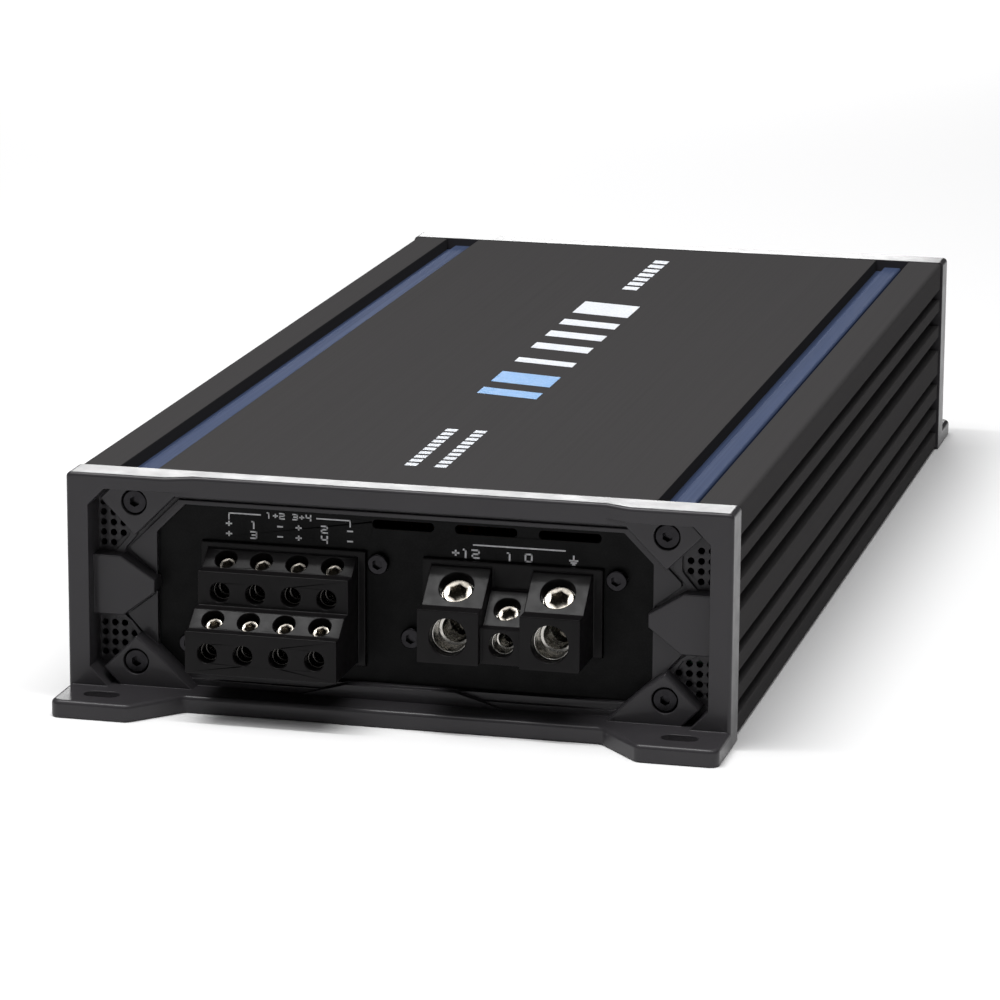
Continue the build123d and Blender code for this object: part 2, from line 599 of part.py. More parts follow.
def power_terminals():
    """Three-pole housing with its clamps and clamping screws."""
    back_y = front(PANEL_DEPTH + PANEL_THICK)
    main = tier_profile(POWER_MAIN, POWER_SLOPE, POWER_MAIN["run"], back_y)
    remote = tier_profile(POWER_REMOTE, POWER_SLOPE, POWER_REMOTE["run"], back_y)
    split_low, split_high = POWER_SPLIT_X
    housing = prism_x(main, POWER_LEFT_X, split_low) + prism_x(main, split_high, POWER_RIGHT_X)
    housing += prism_x(remote, split_low, split_high)
    housing += ears(POWER_SHOULDER, (PANEL_SCREWS[2], PANEL_SCREWS[3]))
    poles = (
        ("power_screw_battery", 15.85, POWER_MAIN, POWER_MAIN["run"], 26.2,
         POWER_BORE_R, POWER_WIRE_R, POWER_HOLE_R, POWER_SCREW_R, (6.4, 6.0, 6.4), 8.0),
        ("power_screw_remote", 29.25, POWER_REMOTE, POWER_REMOTE["run"], 24.4,
         REMOTE_BORE_R, REMOTE_WIRE_R, REMOTE_HOLE_R, REMOTE_SCREW_R, (4.0, 4.2, 5.2), 3.0),
        ("power_screw_ground", 42.45, POWER_MAIN, POWER_MAIN["run"], 26.2,
         POWER_BORE_R, POWER_WIRE_R, POWER_HOLE_R, POWER_SCREW_R, (6.4, 6.0, 6.4), 8.0),
    )
    metals = []
    screws = []
    for name, x, tier, run, wire_z, bore_r, wire_r, hole_r, screw_r, cage, blade_w in poles:
        room, metal, screw, cage_box = pole(
            x, tier, POWER_SLOPE, run, wire_z, bore_r, wire_r, hole_r, screw_r, cage)
        blade = tail(x, cage_box, -153.0, wire_z - bore_r - 0.6, blade_w)
        housing -= room
        housing -= blade
        metals.append(metal + blade)
        screws.append((name, screw))
    return housing, group(metals), screws


# ---------------------------------------------------------------- control end
CONTROL_BOARD_Y = 157.0
CONTROL_FACE_Y = CONTROL_BOARD_Y + BOARD_THICK
PANEL_INNER_Y = BODY_Y - PANEL_THICK
SWITCH_HALF_W = 6.0
LEVER_HALF_W = 1.5
LEVER_HALF_H = 1.2
LED_R = 1.5
SOCKET = (SOCKET_X - 9.0, SOCKET_X + 9.0, 20.0, 30.0)
SOCKET_WALL = 1.5


def control_panel():
    """Steel panel behind the rear bezel's rim, with an opening for every control."""
    y_low, y_high = PANEL_INNER_Y, BODY_Y
    panel = prism_y(PANEL_OUTLINE, y_low, y_high)
    for x in CONTROL_KNOBS.values():
        panel -= rod_y(x, KNOB_Z, KNOB_SHAFT_R + 0.4, y_low - 1, y_high + 1)
    for x, _ in SWITCHES.values():
        reach = LEVER_HALF_W + SWITCH_TRAVEL + 0.3
        panel -= block(x - reach, x + reach, y_low - 1, y_high + 1,
                       SWITCH_Z - LEVER_HALF_H - 0.3, SWITCH_Z + LEVER_HALF_H + 0.3)
    for x in RCA_X:
        for z in RCA_Z:
            panel -= rod_y(x, z, RCA_FLANGE_R + 0.3, y_low - 1, y_high + 1)
    for z in LEDS.values():
        panel -= rod_y(LED_X, z, LED_R + 0.1, y_low - 1, y_high + 1)
    left, right, low, high = SOCKET
    panel -= block(left - 0.1, right + 0.1, y_low - 1, y_high + 1, low - 0.1, high + 0.1)
    return panel


def control_board():
    """Upright board that carries the jacks, knobs and switches."""
    return block(-62, 62, CONTROL_BOARD_Y, CONTROL_FACE_Y, BOARD_TOP_Z, 50.0)


def rca_jacks():
    """Insulating block with its four cores, and the four flanged metal barrels around them."""
    body = block(min(RCA_X) - 6.5, max(RCA_X) + 6.5, CONTROL_FACE_Y, PANEL_INNER_Y,
                 min(RCA_Z) - 6.5, max(RCA_Z) + 6.5)
    root_y = PANEL_INNER_Y - 2.5
    plug_y, tip_y = BODY_Y + 0.9, BODY_Y + 8.4
    core_y = BODY_Y + 7.2
    cores = []
    barrels = []
    for x in RCA_X:
        for z in RCA_Z:
            body -= rod_y(x, z, RCA_FLANGE_R + 0.05, root_y, PANEL_INNER_Y + 1)
            core = rod_y(x, z, RCA_CORE_R, root_y, core_y)
            cores.append(core - rod_y(x, z, RCA_CONTACT_R, BODY_Y - 1.0, core_y + 1))
            barrel = rod_y(x, z, RCA_FLANGE_R, root_y, BODY_Y + 0.4)
            barrel += rod_y(x, z, RCA_NECK_R, root_y, plug_y) + rod_y(x, z, RCA_R, plug_y, tip_y)
            barrels.append(barrel - rod_y(x, z, RCA_BORE_R, root_y - 1, tip_y + 1))
    return group([body] + cores), group(barrels)


def knob(x):
    """Fluted knob with its shaft, which turns in the potentiometer."""
    base_y, tip_y = BODY_Y + 0.5, BODY_Y + 8.0
    cap = rod_y(x, KNOB_Z, KNOB_R, base_y, tip_y)
    cap = chamfer(cap.edges().filter_by(GeomType.CIRCLE).sort_by(Axis.Y)[-1], 0.6)
    flutes = 12
    for index in range(flutes):
        angle = radians(360 / flutes * (index + 0.5))
        cap -= rod_y(x + 6.3 * cos(angle), KNOB_Z + 6.3 * sin(angle), 1.1, base_y - 1, tip_y + 1)
    cap -= block(x - 0.4, x + 0.4, tip_y - 0.6, tip_y + 1, KNOB_Z + 1.0, KNOB_Z + KNOB_R + 1)
    return cap + rod_y(x, KNOB_Z, KNOB_SHAFT_R, CONTROL_FACE_Y + 1.0, base_y)


def potentiometers():
    """Square potentiometer bodies behind the knobs."""
    bodies = []
    for x in CONTROL_KNOBS.values():
        body = block(x - 4.8, x + 4.8, CONTROL_FACE_Y, PANEL_INNER_Y - 1.0, KNOB_Z - 5.2, KNOB_Z + 5.2)
        bodies.append(body - rod_y(x, KNOB_Z, KNOB_SHAFT_R + 0.05, CONTROL_FACE_Y + 0.8, PANEL_INNER_Y))
    return group(bodies)


def switch_bodies():
    """Slide switch housings, open towards the panel."""
    bodies = []
    reach = LEVER_HALF_W + SWITCH_TRAVEL + 0.1
    for x, _ in SWITCHES.values():
        body = block(x - SWITCH_HALF_W, x + SWITCH_HALF_W, CONTROL_FACE_Y, PANEL_INNER_Y,
                     SWITCH_Z - 3.2, SWITCH_Z + 3.2)
        channel = block(x - reach, x + reach, CONTROL_FACE_Y + 3.0, PANEL_INNER_Y + 1,
                        SWITCH_Z - LEVER_HALF_H - 0.05, SWITCH_Z + LEVER_HALF_H + 0.05)
        bodies.append(body - channel)
    return group(bodies)


def switch_lever(x):
    """Slide switch lever with a ribbed thumb face."""
    lever = block(x - LEVER_HALF_W, x + LEVER_HALF_W, CONTROL_FACE_Y + 3.3, BODY_Y + 3.0,
                  SWITCH_Z - LEVER_HALF_H, SWITCH_Z + LEVER_HALF_H)
    for offset in (-0.75, 0.0, 0.75):
        lever -= block(x + offset - 0.15, x + offset + 0.15, BODY_Y + 2.6, BODY_Y + 4.0,
                       SWITCH_Z - 2, SWITCH_Z + 2)
    return lever


def indicator(z):
    """Indicator lamp that reaches from the control board through the panel."""
    lamp = rod_y(LED_X, z, LED_R, CONTROL_FACE_Y, BODY_Y + 1.6)
    return fillet(lamp.edges().filter_by(GeomType.CIRCLE).sort_by(Axis.Y)[-1], LED_R - 0.1)


def high_level_socket():
    """Socket shell for a speaker-level input plug, and its row of pins."""
    left, right, low, high = SOCKET
    shell = block(left, right, CONTROL_FACE_Y, BODY_Y + 1.5, low, high)
    floor_y = CONTROL_FACE_Y + 3.0
    shell -= block(left + SOCKET_WALL, right - SOCKET_WALL, floor_y, BODY_Y + 3,
                   low + SOCKET_WALL, high - SOCKET_WALL)
    pins = []
    for index in range(5):
        x = SOCKET_X + 2.8 * (index - 2)
        z = (low + high) / 2
        pin = (x - 0.35, x + 0.35, floor_y - 1.5, floor_y + 2.0, z - 0.35, z + 0.35)
        shell -= block(*pin)
        pins.append(block(*pin))
    return shell, group(pins)


# ---------------------------------------------------------------- inside the case
def circuit_board():
    """Main board on its standoffs."""
    board = block(-BOARD_HALF_X, BOARD_HALF_X, BOARD_FRONT_Y, BOARD_REAR_Y, BOARD_LOW_Z, BOARD_TOP_Z)
    for x, y in STANDOFFS:
        board -= rod_z(x, y, 1.6, BOARD_LOW_Z - 1, BOARD_TOP_Z + 1)
    return board


def board_standoffs():
    """Hexagonal pillars between the cover and the board."""
    pillars = []
    for x, y in STANDOFFS:
        pillar = hexagon_bar((x, y, COVER_TOP_Z), (0, 0, 1), 6.0, BOARD_LOW_Z - COVER_TOP_Z)
        pillars.append(pillar - rod_z(x, y, 1.5, 0, BOARD_TOP_Z))
    return group(pillars)


def board_screws():
    """Pan-head screws through the board into the pillars."""
    screws = []
    for x, y in STANDOFFS:
        head = rod_z(x, y, 2.8, BOARD_TOP_Z, BOARD_TOP_Z + 1.8)
        slot = block(x - 3, x + 3, y - 0.35, y + 0.35, BOARD_TOP_Z + 1.0, BOARD_TOP_Z + 3)
        screws.append(head + rod_z(x, y, 1.5 - CLEAR, BOARD_TOP_Z - 6, BOARD_TOP_Z) - slot)
    return group(screws)


def ring_core(x, y, outer_r, inner_r, height):
    """Wound ring that lies flat on the board."""
    ring = rod_z(x, y, outer_r, BOARD_TOP_Z, BOARD_TOP_Z + height)
    ring -= rod_z(x, y, inner_r, BOARD_TOP_Z - 1, BOARD_TOP_Z + height + 1)
    return fillet(ring.edges().filter_by(GeomType.CIRCLE), min(2.0, height / 4))


def capacitor(x, y, radius, height):
    """Upright electrolytic capacitor with its crimped groove."""
    can = rod_z(x, y, radius, BOARD_TOP_Z, BOARD_TOP_Z + height)
    can = fillet(can.edges().filter_by(GeomType.CIRCLE).sort_by(Axis.Z)[-1], 1.0)
    groove = rod_z(x, y, radius + 1, BOARD_TOP_Z + 2.5, BOARD_TOP_Z + 3.5)
    return can - (groove - rod_z(x, y, radius - 0.5, BOARD_TOP_Z, BOARD_TOP_Z + 5))


def wall_parts():
    """Thermal pads, transistors, clamp bars and their screws along both side walls."""
    pads, transistors, bars, screws = [], [], [], []
    for side in (-1, 1):
        pad_x = WALL_INNER_X - PAD_THICK
        body_x = pad_x - TRANSISTOR_THICK
        bar_x = body_x - CLAMP_THICK
        for y in TRANSISTOR_Y:
            pads.append(side_block(side, pad_x, WALL_INNER_X, y - 6.5, y + 6.5, 19.0, 37.0))
            device = side_block(side, body_x, pad_x, y - 5, y + 5, 20.6, 36.0)
            for lead in (-2.54, 0.0, 2.54):
                device += side_block(side, body_x + 1.5, body_x + 2.1, y + lead - 0.4, y + lead + 0.4,
                                     BOARD_TOP_Z, 21.0)
            transistors.append(device)
        for bar_low, bar_high in ((-112.0, -8.0), (8.0, 112.0)):
            bar = side_block(side, bar_x, body_x, bar_low, bar_high, 25.0, 32.2)
            for y in CLAMP_SCREW_Y:
                bar -= rod((side * (bar_x - 1), y, CLAMP_SCREW_Z), (side, 0, 0), CLAMP_SCREW_R, 5.0)
            bars.append(bar)
        for y in CLAMP_SCREW_Y:
            tip = WALL_INNER_X + 3.6
            shank = rod((side * bar_x, y, CLAMP_SCREW_Z), (side, 0, 0), CLAMP_SCREW_R - CLEAR, tip - bar_x)
            head = rod((side * (bar_x - 2.0), y, CLAMP_SCREW_Z), (side, 0, 0), 2.5, 2.0)
            socket = hexagon_bar((side * (bar_x - 2.1), y, CLAMP_SCREW_Z), (side, 0, 0), 2.0, 1.4)
            screws.append(head + shank - socket)
    return group(pads), group(transistors), group(bars), group(screws)


def side_block(side, x_near, x_far, y_low, y_high, z_low, z_high):
    """Block given by its distances from the middle plane, on one side of it."""
    x_low, x_high = sorted((side * x_near, side * x_far))
    return block(x_low, x_high, y_low, y_high, z_low, z_high)


# ---------------------------------------------------------------- all pieces
def all_pieces():
    """Every node of the amplifier, by name."""
    speaker_housing, speaker_clamps, speaker_screws = speaker_terminals()
    power_housing, power_clamps, power_screws = power_terminals()
    jack_block, jack_barrels = rca_jacks()
    socket_shell, socket_pins = high_level_socket()
    pads, transistors, bars, clamp_screws = wall_parts()
    front_bezel, grilles, screws = bezel(), corner_grilles(), corner_screws()
    pieces = {
        "heatsink_body": heatsink(),
        "trim_strip_left": trim_strip(-1),
        "trim_strip_right": trim_strip(1),
        "bottom_cover": bottom_cover(),
        "cover_screws": flat_screws(COVER_SCREWS, FLANGE_TOP_Z),
        "front_bezel": front_bezel,
        "rear_bezel": from_rear(front_bezel),
        "front_grilles": grilles,
        "rear_grilles": from_rear(grilles),
        "front_bezel_screws": screws,
        "rear_bezel_screws": from_rear(screws),
        "terminal_panel": terminal_panel(),
        "panel_screws": panel_screws(),
        "speaker_terminal_housing": speaker_housing,
        "speaker_terminal_clamps": speaker_clamps,
        "power_terminal_housing": power_housing,
        "power_terminal_clamps": power_clamps,
        "control_panel": control_panel(),
        "control_board": control_board(),
        "rca_jack_block": jack_block,
        "rca_jack_barrels": jack_barrels,
        "potentiometers": potentiometers(),
        "switch_bodies": switch_bodies(),
        "high_level_socket": socket_shell,
        "socket_pins": socket_pins,
        "circuit_board": circuit_board(),
        "board_standoffs": board_standoffs(),
        "standoff_screws": flat_screws(STANDOFFS, COVER_TOP_Z + 5.0),
        "board_screws": board_screws(),
        "power_transformer": ring_core(0, -95, 23.0, 9.0, 24.0),
        "reservoir_capacitors": group(
            capacitor(x, y, 9.0, 34.0) for x in (-44.0, 44.0) for y in (-110.0, -86.0, -62.0)),
        "output_inductors": group(
            ring_core(x, 60.0, 9.0, 3.5, 9.0) for x in (-45.0, -15.0, 15.0, 45.0)),
        "thermal_pads": pads,
        "power_transistors": transistors,
        "transistor_clamps": bars,
        "clamp_screws": clamp_screws,
    }
    pieces.update(speaker_screws)
    pieces.update(power_screws)
    pieces.update({name: knob(x) for name, x in CONTROL_KNOBS.items()})
    pieces.update({name: switch_lever(x + offset) for name, (x, offset) in SWITCHES.items()})
    pieces.update({name: indicator(z) for name, z in LEDS.items()})
    return pieces


os.makedirs("parts", exist_ok=True)
for node, shape in all_pieces().items():
    export_step(shape, f"parts/{node}.step")
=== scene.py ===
"""Looks of a four-channel car power amplifier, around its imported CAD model.

Metres, in the CAD frame: X across the terminal end, Y along the case (terminal end at -Y), Z up.
"""
import json
import math

import bmesh
import bpy
from mathutils import Matrix, Vector


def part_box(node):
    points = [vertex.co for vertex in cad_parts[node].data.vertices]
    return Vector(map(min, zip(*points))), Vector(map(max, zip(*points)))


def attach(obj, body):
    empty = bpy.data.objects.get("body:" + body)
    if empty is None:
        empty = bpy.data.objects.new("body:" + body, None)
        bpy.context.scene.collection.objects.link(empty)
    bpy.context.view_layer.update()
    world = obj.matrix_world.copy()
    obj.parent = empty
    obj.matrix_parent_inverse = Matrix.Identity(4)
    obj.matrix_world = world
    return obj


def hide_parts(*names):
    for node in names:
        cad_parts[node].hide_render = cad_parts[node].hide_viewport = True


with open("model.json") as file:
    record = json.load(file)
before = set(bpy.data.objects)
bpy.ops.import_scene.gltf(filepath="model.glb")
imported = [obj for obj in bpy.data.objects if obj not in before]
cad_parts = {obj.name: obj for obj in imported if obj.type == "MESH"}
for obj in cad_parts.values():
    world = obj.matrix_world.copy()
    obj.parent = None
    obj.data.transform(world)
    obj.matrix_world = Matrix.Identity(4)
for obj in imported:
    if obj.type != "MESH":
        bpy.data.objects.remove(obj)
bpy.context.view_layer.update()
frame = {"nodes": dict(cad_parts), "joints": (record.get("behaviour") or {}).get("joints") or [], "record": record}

MM = 0.001

CAMERA_LENS, CAMERA_SENSOR = 164.16, 36.0           # mm
CAMERA_PLACE = (0.29594, -1.26544, 0.33456)
CAMERA_YAW, CAMERA_PITCH, CAMERA_ROLL = 13.869, 13.726, 0.326   # degrees, pitch is downwards
CAMERA_REACH = 50.0                                 # far clipping

FLOOR_REACH = 30.0
FLOOR_DROP = 0.0002                                 # below the feet, so the two never coincide
FLOOR_TONE, FLOOR_ROUGHNESS, FLOOR_SPECULAR = 0.99, 0.9, 0.1
SKY = ((0.0, 0.05), (0.35, 0.06), (0.55, 0.18), (1.0, 0.75))    # height, brightness
SKY_BLUE = 1.01                                     # blue against red and green
LAMPS = (                                           # name, place, target, size, watts
    ("overhead_strip", (0.0, -0.35, 1.5), (0, -0.1, 0.03), (1.4, 0.08), 11),
    ("key", (-0.45, -0.42, 1.8), (0, 0, 0.03), (1.3, 0.9), 13.5),
    ("back", (-0.41, 1.5, 0.42), (0, -0.17, 0.06), (0.6, 0.3), 4.0),
)

nodes = frame["nodes"]
joints = {joint["child"]: joint for joint in frame["joints"]}
body_of = {node: body for body, members in frame["record"]["behaviour"]["bodies"].items()
           for node in members}
slot_of = {part["node"]: part["material_slot"] for part in frame["record"]["subparts"]}


# ---------------------------------------------------------------- camera, floor and light
def add_camera():
    """Long lens, above the terminal end and a little to its right."""
    data = bpy.data.cameras.new("camera")
    data.lens = CAMERA_LENS
    data.sensor_width = CAMERA_SENSOR
    data.clip_end = CAMERA_REACH
    camera = bpy.data.objects.new("camera", data)
    bpy.context.scene.collection.objects.link(camera)
    yaw, pitch, roll = (math.radians(angle) for angle in (CAMERA_YAW, CAMERA_PITCH, CAMERA_ROLL))
    turn = Matrix.Rotation(yaw, 4, "Z") @ Matrix.Rotation(math.radians(90) - pitch, 4, "X")
    place = Matrix.Translation(CAMERA_PLACE)
    camera.matrix_world = place @ turn @ Matrix.Rotation(roll, 4, "Z")
    bpy.context.scene.camera = camera


def add_lamp(name, place, target, size, watts):
    """Soft white rectangular lamp that faces the target."""
    data = bpy.data.lights.new(name, "AREA")
    data.shape = "RECTANGLE"
    data.size, data.size_y = size
    data.energy = watts
    lamp = bpy.data.objects.new(name, data)
    bpy.context.scene.collection.objects.link(lamp)
    lamp.location = place
    lamp.rotation_euler = (Vector(target) - Vector(place)).to_track_quat("-Z", "Y").to_euler()


def set_stops(ramp, stops):
    """Gives a colour ramp its (position, colour) stops."""
    elements = ramp.color_ramp.elements
    while len(elements) < len(stops):
        elements.new(0.5)
    for element, (position, colour) in zip(elements, stops):
        element.position = position
        element.color = (*colour, 1)


def add_studio():
    """Pale floor, soft lamps and a sky that is dim at the horizon and bright above."""
    mesh = bpy.data.meshes.new("floor")
    corners = ((-1, -1), (1, -1), (1, 1), (-1, 1))
    mesh.from_pydata([(x * FLOOR_REACH, y * FLOOR_REACH, 0) for x, y in corners],
                     [], [(0, 1, 2, 3)])
    floor = bpy.data.objects.new("floor", mesh)
    floor.location.z = -FLOOR_DROP
    bpy.context.scene.collection.objects.link(floor)
    pale = bpy.data.materials.new("floor_paint")
    pale.use_nodes = True
    shader = pale.node_tree.nodes["Principled BSDF"]
    shader.inputs["Base Color"].default_value = (FLOOR_TONE, FLOOR_TONE, FLOOR_TONE, 1)
    shader.inputs["Roughness"].default_value = FLOOR_ROUGHNESS
    shader.inputs["Specular IOR Level"].default_value = FLOOR_SPECULAR
    mesh.materials.append(pale)

    world = bpy.data.worlds.new("studio")
    bpy.context.scene.world = world
    world.use_nodes = True
    tree = world.node_tree
    background = tree.nodes["Background"]
    coordinate = tree.nodes.new("ShaderNodeTexCoord")
    split = tree.nodes.new("ShaderNodeSeparateXYZ")
    ramp = tree.nodes.new("ShaderNodeValToRGB")
    tree.links.new(coordinate.outputs["Generated"], split.inputs[0])
    tree.links.new(split.outputs["Z"], ramp.inputs[0])
    tree.links.new(ramp.outputs[0], background.inputs["Color"])
    set_stops(ramp, [(height, (level, level, level * SKY_BLUE)) for height, level in SKY])
    background.inputs["Strength"].default_value = 1.0
    bpy.context.scene.view_settings.view_transform = "Standard"

    for lamp in LAMPS:
        add_lamp(*lamp)


# ---------------------------------------------------------------- materials
NO_STRETCH = (1, 1, 1)
NOISE_ROUGHNESS = 0.55
NOISE_LOW, NOISE_HIGH = 0.3, 0.7                    # the span that most of a noise lies in


class Painter:
    """Builds one procedural material on object coordinates, with scales per metre."""

    def __init__(self, name, metallic, base, **constants):
        self.material = bpy.data.materials.new(name)
        self.material.use_nodes = True
        self.tree = self.material.node_tree
        self.shader = self.tree.nodes["Principled BSDF"]
        self.shader.inputs["Metallic"].default_value = metallic
        self.shader.inputs["Base Color"].default_value = (*base, 1)
        for socket, value in constants.items():
            self.shader.inputs[socket.replace("_", " ")].default_value = value
        coordinate = self.tree.nodes.new("ShaderNodeTexCoord")
        self.place = coordinate.outputs["Object"]
        self.normal = None

    def texture(self, kind, scale, stretch):
        """Texture node on object coordinates, drawn out along an axis with a small factor."""
        mapping = self.tree.nodes.new("ShaderNodeMapping")
        mapping.inputs["Scale"].default_value = stretch
        self.tree.links.new(self.place, mapping.inputs["Vector"])
        node = self.tree.nodes.new(kind)
        node.inputs["Scale"].default_value = scale
        self.tree.links.new(mapping.outputs[0], node.inputs["Vector"])
        return node

    def noise(self, scale, detail=4.0, stretch=NO_STRETCH):
        """Soft random value."""
        node = self.texture("ShaderNodeTexNoise", scale, stretch)
        node.inputs["Detail"].default_value = detail
        node.inputs["Roughness"].default_value = NOISE_ROUGHNESS
        return node.outputs["Fac"]

    def cells(self, scale, stretch=NO_STRETCH):
        """Distance to the nearest of many scattered points."""
        return self.texture("ShaderNodeTexVoronoi", scale, stretch).outputs["Distance"]

    def colours(self, value, stops):
        """Base colour from a value through (position, colour) stops."""
        ramp = self.tree.nodes.new("ShaderNodeValToRGB")
        set_stops(ramp, stops)
        self.tree.links.new(value, ramp.inputs[0])
        self.tree.links.new(ramp.outputs[0], self.shader.inputs["Base Color"])

    def rough(self, value, low, high):
        """Roughness between low and high."""
        span = self.tree.nodes.new("ShaderNodeMapRange")
        span.inputs["From Min"].default_value = NOISE_LOW
        span.inputs["From Max"].default_value = NOISE_HIGH
        span.inputs["To Min"].default_value = low
        span.inputs["To Max"].default_value = high
        self.tree.links.new(value, span.inputs["Value"])
        self.tree.links.new(span.outputs[0], self.shader.inputs["Roughness"])

    def bump(self, value, depth, strength=0.5):
        """Relief of the given depth in metres, added to any before it."""
        node = self.tree.nodes.new("ShaderNodeBump")
        node.inputs["Distance"].default_value = depth
        node.inputs["Strength"].default_value = strength
        self.tree.links.new(value, node.inputs["Height"])
        if self.normal is not None:
            self.tree.links.new(self.normal, node.inputs["Normal"])
        self.normal = node.outputs["Normal"]
        self.tree.links.new(self.normal, self.shader.inputs["Normal"])


def shade(colour, factor):
    """Colour made lighter or darker."""
    return tuple(min(1.0, channel * factor) for channel in colour)


def enamel(name, base, rough, **constants):
    """Satin coating with a little metal in it, a fine orange peel and a slow drift of tone."""
    paint = Painter(name, 0.1, base, **constants)
    paint.colours(paint.noise(14.0, 3.0), [(0.3, shade(base, 0.9)), (0.7, shade(base, 1.12))])
    paint.rough(paint.noise(160.0, 5.0), *rough)
    paint.bump(paint.noise(900.0, 2.0), 6e-6)
    paint.bump(paint.cells(4200.0), 3e-6, 0.3)
    return paint.material


def extruded(name, base, metallic, rough, depth=4e-6, contrast=0.12, **constants):
    """Anodised extrusion with faint die lines along Y."""
    paint = Painter(name, metallic, base, **constants)
    lines = paint.noise(1500.0, 3.0, (1, 0.004, 1))
    paint.colours(lines, [(0.3, shade(base, 1 - contrast)), (0.7, shade(base, 1 + contrast))])
    paint.rough(paint.noise(500.0, 4.0, (1, 0.02, 1)), *rough)
    paint.bump(lines, depth)
    paint.bump(paint.cells(5200.0), depth * 0.6, 0.35)
    return paint.material


def moulded(name, base, rough, **constants):
    """Moulded plastic with a spark-eroded grain."""
    paint = Painter(name, 0.0, base, **constants)
    paint.colours(paint.noise(60.0, 4.0), [(0.35, shade(base, 0.85)), (0.65, shade(base, 1.15))])
    paint.rough(paint.noise(320.0, 4.0), *rough)
    paint.bump(paint.cells(2600.0), 8e-6)
    return paint.material


def powder(name, base, rough, **constants):
    """Powder-coated steel: a fine pebbled black."""
    paint = Painter(name, 0.0, base, **constants)
    paint.colours(paint.cells(1800.0), [(0.1, shade(base, 1.25)), (0.6, shade(base, 0.8))])
    paint.rough(paint.noise(240.0, 3.0), *rough)
    paint.bump(paint.cells(1400.0), 1.2e-5)
    return paint.material


def plated(name, base, rough):
    """Plated metal with fine tool marks and slight staining."""
    paint = Painter(name, 1.0, base)
    paint.colours(paint.noise(420.0, 5.0), [(0.3, shade(base, 0.78)), (0.65, shade(base, 1.08))])
    paint.rough(paint.noise(900.0), *rough)
    paint.bump(paint.noise(2600.0, 3.0), 3e-6)
    return paint.material


def circuit(name):
    """Solder mask over faint copper tracks."""
    paint = Painter(name, 0.0, (0.01, 0.09, 0.04), Coat_Weight=0.4, Coat_Roughness=0.15)
    tracks = paint.cells(260.0, (1, 0.35, 1))
    paint.colours(tracks, [(0.12, (0.02, 0.16, 0.07)), (0.2, (0.008, 0.075, 0.035))])
    paint.rough(paint.noise(180.0), 0.3, 0.45)
    paint.bump(tracks, 2e-5, 0.4)
    return paint.material


def winding(name):
    """Enamelled copper wire wound across a ring."""
    paint = Painter(name, 0.9, (0.55, 0.20, 0.07), Coat_Weight=0.5)
    wires = paint.noise(1400.0, 2.0, (1, 1, 0.05))
    paint.colours(wires, [(0.35, (0.24, 0.07, 0.02)), (0.6, (0.70, 0.28, 0.10))])
    paint.rough(paint.noise(300.0), 0.25, 0.42)
    paint.bump(wires, 2e-4, 0.6)
    return paint.material


def lens(name, colour):
    """Tinted, faintly glowing lamp."""
    paint = Painter(name, 0.0, colour, Coat_Weight=0.6, Emission_Strength=0.25,
                    Emission_Color=(*colour, 1))
    paint.colours(paint.noise(900.0), [(0.3, shade(colour, 0.75)), (0.7, shade(colour, 1.2))])
    paint.rough(paint.noise(700.0), 0.12, 0.25)
    paint.bump(paint.noise(1200.0), 4e-6)
    return paint.material


def ink(name, colour):
    """Screen-printed ink, slightly uneven."""
    paint = Painter(name, 0.0, colour)
    paint.colours(paint.noise(1500.0, 5.0),
                  [(0.3, shade(colour, 0.82)), (0.7, shade(colour, 1.05))])
    paint.rough(paint.noise(600.0), 0.45, 0.6)
    paint.bump(paint.noise(3000.0), 6e-6)
    return paint.material


PAINTS = {
    "gunmetal_enamel": enamel("gunmetal_enamel", (0.039, 0.037, 0.040), (0.28, 0.38),
                              Coat_Weight=0.17, Coat_Roughness=0.14, Specular_IOR_Level=0.15),
    "blue_anodised": extruded("blue_anodised", (0.055, 0.075, 0.14), 0.1, (0.40, 0.50),
                              Specular_IOR_Level=0.0),
    "black_steel": powder("black_steel", (0.005, 0.005, 0.0052), (0.42, 0.55),
                          Specular_IOR_Level=0.10),
    "black_screw": plated("black_screw", (0.024, 0.023, 0.025), (0.18, 0.28)),
    "terminal_plastic": moulded("terminal_plastic", (0.006, 0.0054, 0.0058), (0.30, 0.40),
                                Specular_IOR_Level=0.13),
    "nickel": plated("nickel", (0.62, 0.60, 0.56), (0.16, 0.30)),
    "set_screw_nickel": plated("set_screw_nickel", (0.27, 0.25, 0.22), (0.20, 0.34)),
    "board": circuit("board"),
    "control_plastic": moulded("control_plastic", (0.018, 0.018, 0.019), (0.38, 0.5)),
    "jack_gold": plated("jack_gold", (0.83, 0.60, 0.22), (0.14, 0.26)),
    "pot_metal": plated("pot_metal", (0.52, 0.52, 0.50), (0.28, 0.42)),
    "copper_winding": winding("copper_winding"),
    "capacitor_can": moulded("capacitor_can", (0.012, 0.014, 0.035), (0.25, 0.36),
                             Coat_Weight=0.3),
    "device_plastic": moulded("device_plastic", (0.016, 0.016, 0.016), (0.45, 0.6)),
    "silicone_pad": moulded("silicone_pad", (0.42, 0.43, 0.45), (0.6, 0.75)),
    "lens": lens("lens", (0.55, 0.03, 0.02)),
}
HEATSINK = extruded("heatsink_anodised", (0.057, 0.055, 0.0555), 0.0, (0.42, 0.54),
                    depth=3e-7, contrast=0.03, Specular_IOR_Level=0.0)
# Speaker clamps in a darkened steel: painted shade for the shade deep inside the wire bores, not the clamps' own
# plating
CLAMP_PAINTED_SHADE = plated("clamp_painted_shade", (0.10, 0.095, 0.09), (0.2, 0.34))
POWER_LENS = lens("power_lens", (0.02, 0.30, 0.75))
INK_LIGHT = ink("ink_light", (0.62, 0.62, 0.64))
INK_WHITE = ink("ink_white", (0.72, 0.75, 0.80))
INK_BLUE = ink("ink_blue", (0.16, 0.38, 0.72))
